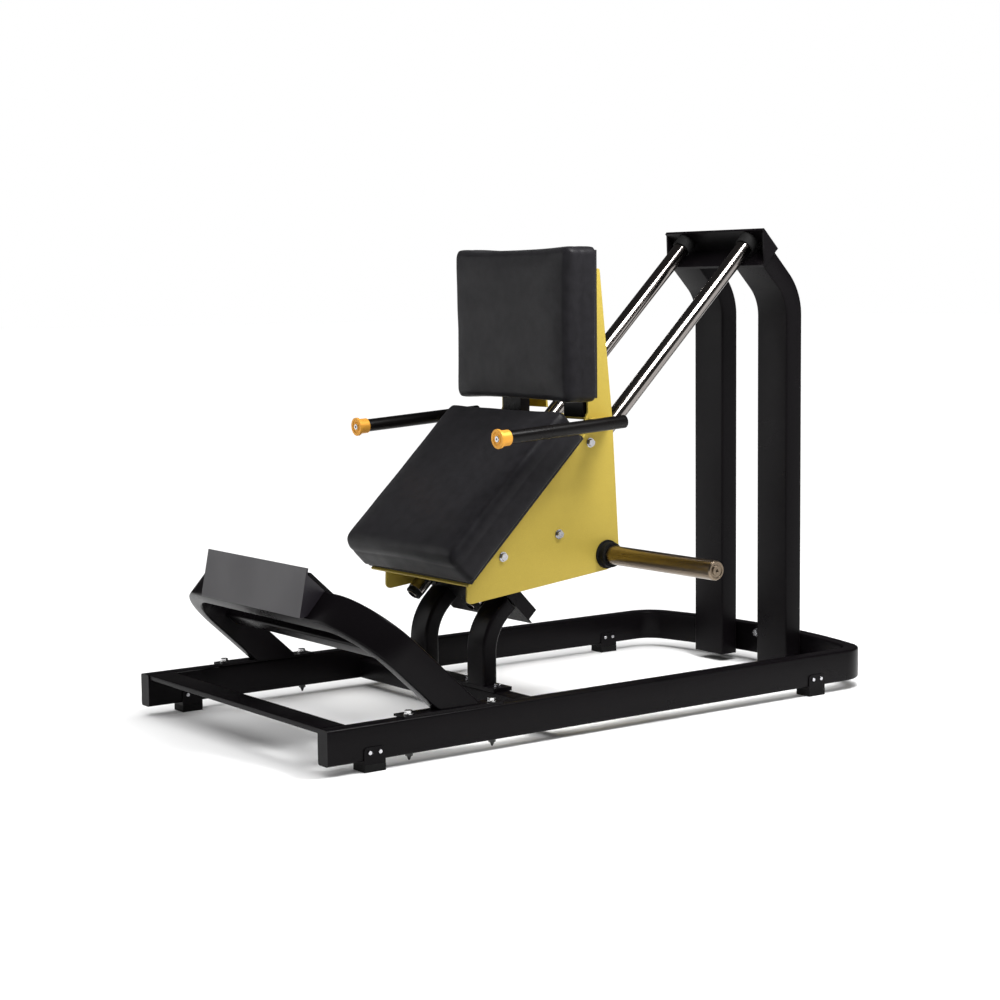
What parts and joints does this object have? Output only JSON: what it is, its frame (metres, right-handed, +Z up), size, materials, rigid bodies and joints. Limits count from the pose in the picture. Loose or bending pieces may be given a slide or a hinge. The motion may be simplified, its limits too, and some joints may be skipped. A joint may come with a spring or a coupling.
{
  "type": "hip thrust machine",
  "caption": "Plate-loaded hip thrust machine: a padded carriage slides on inclined rods above a floor frame, behind a sloping foot deck.",
  "frame": {"origin": "on the floor, under the middle of the whole machine", "axes": "+X to the side, +Y to the rear where the uprights stand, -Y to the foot deck, +Z up"},
  "size_m": [1.236, 1.808, 1.256],
  "materials": {
    "frame_black": "satin black powder coat",
    "cover_grey": "dark grey powder coat",
    "gold_paint": "fine-textured gold powder coat",
    "rod_chrome": "polished hard chrome",
    "bolt_steel": "zinc-plated",
    "housing_aluminium": "machined",
    "black_rubber": "matt moulded",
    "board_black": "black-faced plywood",
    "black_vinyl": "grained black upholstery vinyl"
  },
  "bodies": {
    "frame": {"base_rail_left": "frame_black", "base_rail_right": "frame_black", "base_rear_bow": "frame_black", "front_crossbar": "frame_black", "mid_crossmember": "frame_black", "rail_plugs": "black_rubber", "foot_saddles": "frame_black", "foot_pads": "black_rubber", "foot_screws": "bolt_steel", "upright_left": "frame_black", "upright_right": "frame_black", "upright_bolts": "bolt_steel", "top_bracket": "frame_black", "guide_rod_left": "rod_chrome", "guide_rod_right": "rod_chrome", "rod_top_bolts": "bolt_steel", "rod_end_caps": "black_rubber", "rod_end_discs": "rod_chrome", "rod_collars": "frame_black", "lower_bracket": "frame_black", "leg_left": "frame_black", "leg_right": "frame_black", "leg_plate": "frame_black", "leg_bolts": "bolt_steel", "lower_bumpers": "black_rubber", "upper_bumpers": "black_rubber", "foot_bow": "frame_black", "bow_flanges": "frame_black", "bow_bolts": "bolt_steel", "deck_cross_tube": "frame_black", "foot_deck": "frame_black", "deck_tread": "black_rubber", "deck_cover": "cover_grey"},
    "carriage": {"side_plate_left": "gold_paint", "side_plate_right": "gold_paint", "seat_pan": "gold_paint", "seat_board": "board_black", "seat_pad": "black_vinyl", "back_board": "board_black", "back_pad": "black_vinyl", "back_posts": "frame_black", "back_shelf": "gold_paint", "seat_rails": "frame_black", "cross_tube_front": "frame_black", "cross_tube_rear": "frame_black", "lower_tie": "frame_black", "bearing_housings": "housing_aluminium", "linear_bearings": "bolt_steel", "side_bolts": "bolt_steel", "horn_left": "rod_chrome", "horn_right": "rod_chrome", "horn_collars": "black_rubber", "horn_caps": "rod_chrome", "horn_cross_tube": "frame_black", "handle_bar_left": "frame_black", "handle_bar_right": "frame_black", "handle_brackets": "gold_paint", "handle_caps": "gold_paint", "handle_screws": "bolt_steel", "handle_bolts": "gold_paint"}
  },
  "joints": [
    {"name": "carriage_slide", "type": "slide", "parent": "frame", "child": "carriage", "axis": [0, 0.7193, 0.6947], "range_m": [0, 0.7045]}
  ]
}
